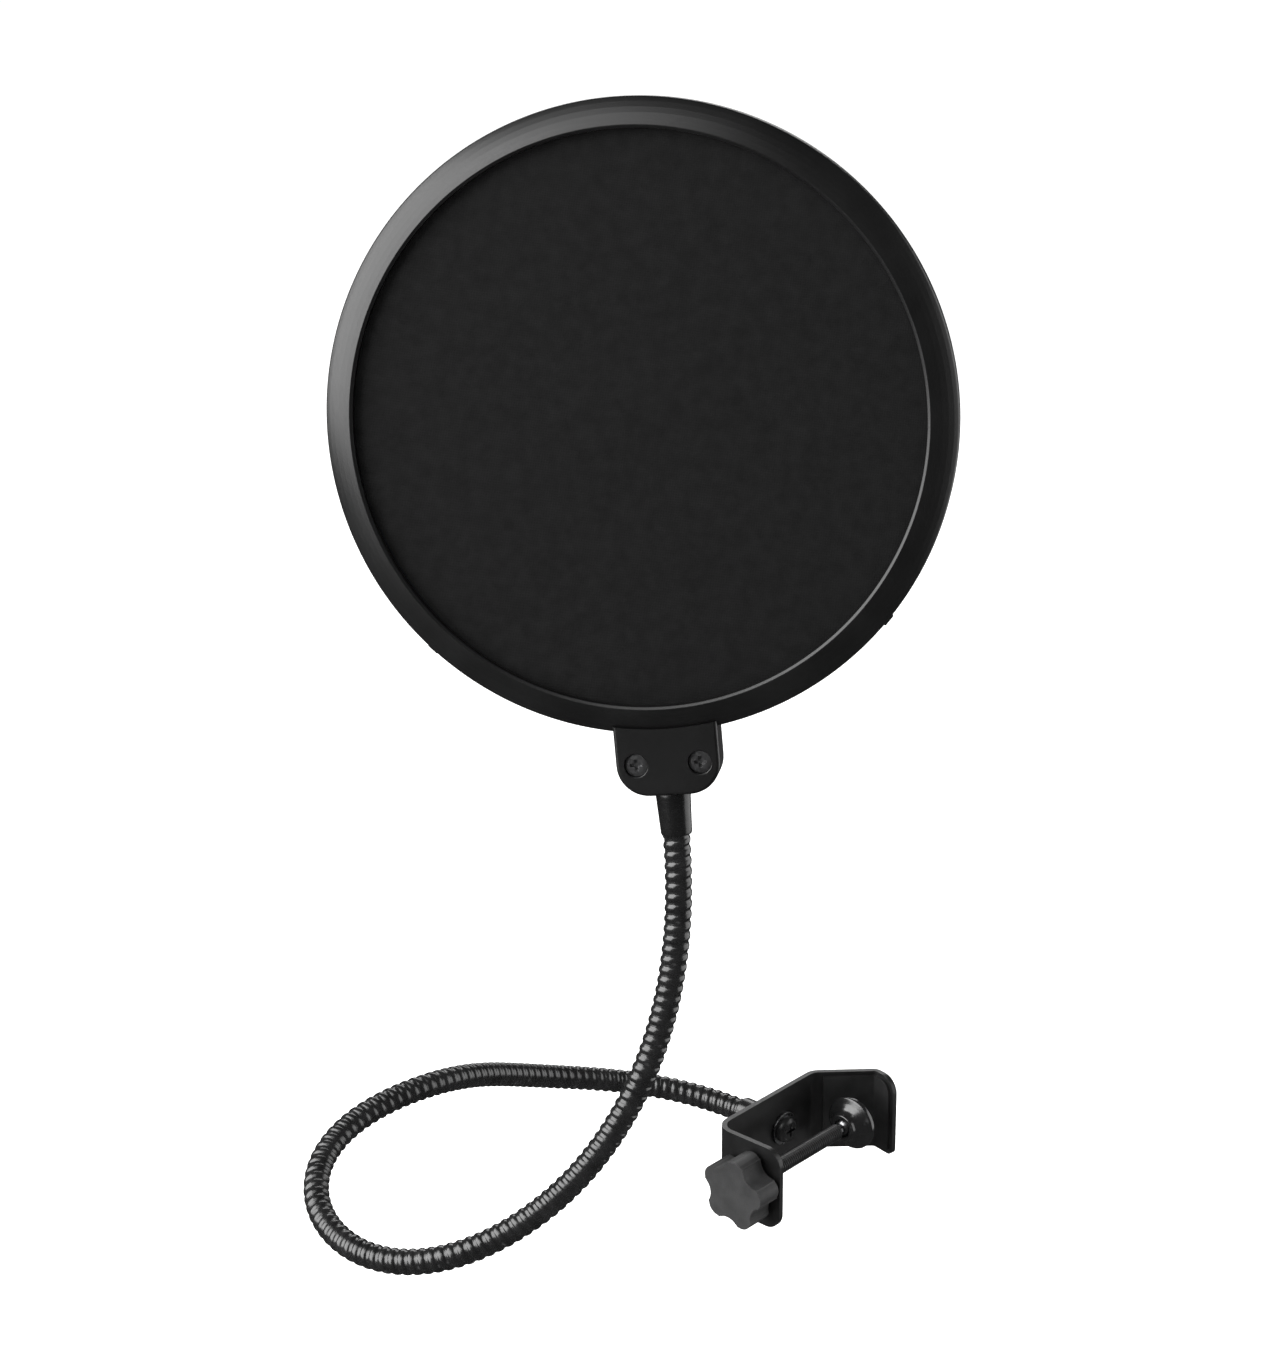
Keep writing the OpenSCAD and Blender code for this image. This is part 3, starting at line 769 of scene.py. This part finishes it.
def carry(node, material, width):
    """Gives a CAD node its material and softens its sharp edges."""
    piece = frame["nodes"][node]
    piece.data.materials.clear()
    piece.data.materials.append(material)
    weld = piece.modifiers.new("weld", "WELD")
    weld.merge_threshold = WELD_DISTANCE
    bevel = piece.modifiers.new("edges", "BEVEL")
    bevel.width = width * MM
    bevel.segments = 3
    bevel.limit_method = "ANGLE"
    bevel.angle_limit = EDGE_FROM
    even_normals(piece, keep_sharp=False)


for node, (material, width) in CARRIED.items():
    carry(node, material, width)


# ---------- floor and light ----------

FLOOR_DROP = 0.16                      # below the lowest part of the object
FLOOR_REACH = 9
FLOOR_GLOW = 0.40                      # lifts the floor to the white of a light table
WORLD_LEVEL = 0.75                     # as a light
WORLD_IN_GLOSS = 0.05                  # as gloss reflects it
WORLD_SEEN = 1.05                      # as the camera sees it
LIGHT_AIM = (0, 0.05, 0)
# Name, place, aim (both from the object's middle: right, up and towards the camera), size, radiance
LIGHTS = [
    ("key", (-1.25, 0.40, 0.55), LIGHT_AIM, (1.7, 1.5), 5.8),
    ("edge", (1.2, 0.10, -0.25), (0, 0, 0), (1.4, 1.2), 1.9),
    ("upper", (-0.50, 0.95, 1.05), LIGHT_AIM, (0.9, 0.6), 3.0),
    ("behind", (0.0, 0.95, -1.0), (0, 0, 0), (1.0, 0.5), 3.0)]


def add_floor():
    """A wide pale floor well below the object."""
    bm = bmesh.new()
    level = CAD_BOX[0].z - FLOOR_DROP
    corners = ((-1, -1), (1, -1), (1, 1), (-1, 1))
    bm.faces.new([bm.verts.new((x * FLOOR_REACH, y * FLOOR_REACH, level)) for x, y in corners])
    mesh = bpy.data.meshes.new("floor")
    bm.to_mesh(mesh)
    bm.free()
    floor = bpy.data.objects.new("floor", mesh)
    bpy.context.scene.collection.objects.link(floor)
    material, tree, shader = new_material("pale_floor", (0.88, 0.88, 0.88), 0.9)
    tone = ramp(tree, noise(tree, 3, 2.0), (0.87, 0.87, 0.87), (0.89, 0.89, 0.89))
    tree.links.new(tone, shader.inputs["Base Color"])
    shader.inputs["Emission Color"].default_value = (1, 1, 1, 1)
    shader.inputs["Emission Strength"].default_value = FLOOR_GLOW
    mesh.materials.append(material)
    floor.visible_glossy = False


def area_light(name, place, aim, size, radiance):
    """A rectangular light whose power follows from its size, so that its brightness stays."""
    data = bpy.data.lights.new(name, "AREA")
    data.shape = "RECTANGLE"
    data.size, data.size_y = size
    data.energy = math.pi * size[0] * size[1] * radiance
    light = bpy.data.objects.new(name, data)
    light.location = place
    light.rotation_mode = "QUATERNION"
    light.rotation_quaternion = (Vector(aim) - Vector(place)).to_track_quat("-Z", "Y")
    bpy.context.scene.collection.objects.link(light)


def add_lights():
    """A broad soft light on the left, one above it, a dim wide one on the right and one behind."""
    bpy.context.view_layer.update()
    middle = (CAD_BOX[0] + CAD_BOX[1]) / 2
    turn = CAMERA.matrix_world.to_3x3()
    for name, place, aim, size, radiance in LIGHTS:
        area_light(name, middle + turn @ Vector(place), middle + turn @ Vector(aim), size, radiance)


def add_world():
    """White surroundings that light the object softly and show dim in its gloss."""
    world = bpy.data.worlds.new("studio")
    bpy.context.scene.world = world
    world.use_nodes = True
    tree = world.node_tree
    background = tree.nodes["Background"]
    path = tree.nodes.new("ShaderNodeLightPath")
    level = tree.nodes.new("ShaderNodeMapRange")
    level.inputs["To Min"].default_value = WORLD_LEVEL
    level.inputs["To Max"].default_value = WORLD_IN_GLOSS
    tree.links.new(path.outputs["Is Glossy Ray"], level.inputs["Value"])
    seen = tree.nodes.new("ShaderNodeMath")
    seen.operation = "MULTIPLY_ADD"
    tree.links.new(path.outputs["Is Camera Ray"], seen.inputs[0])
    seen.inputs[1].default_value = WORLD_SEEN - WORLD_LEVEL
    tree.links.new(level.outputs["Result"], seen.inputs[2])
    tree.links.new(seen.outputs[0], background.inputs["Strength"])
    background.inputs["Color"].default_value = (1, 1, 1, 1)


add_floor()
add_lights()
add_world()
bpy.context.scene.view_settings.view_transform = "Standard"
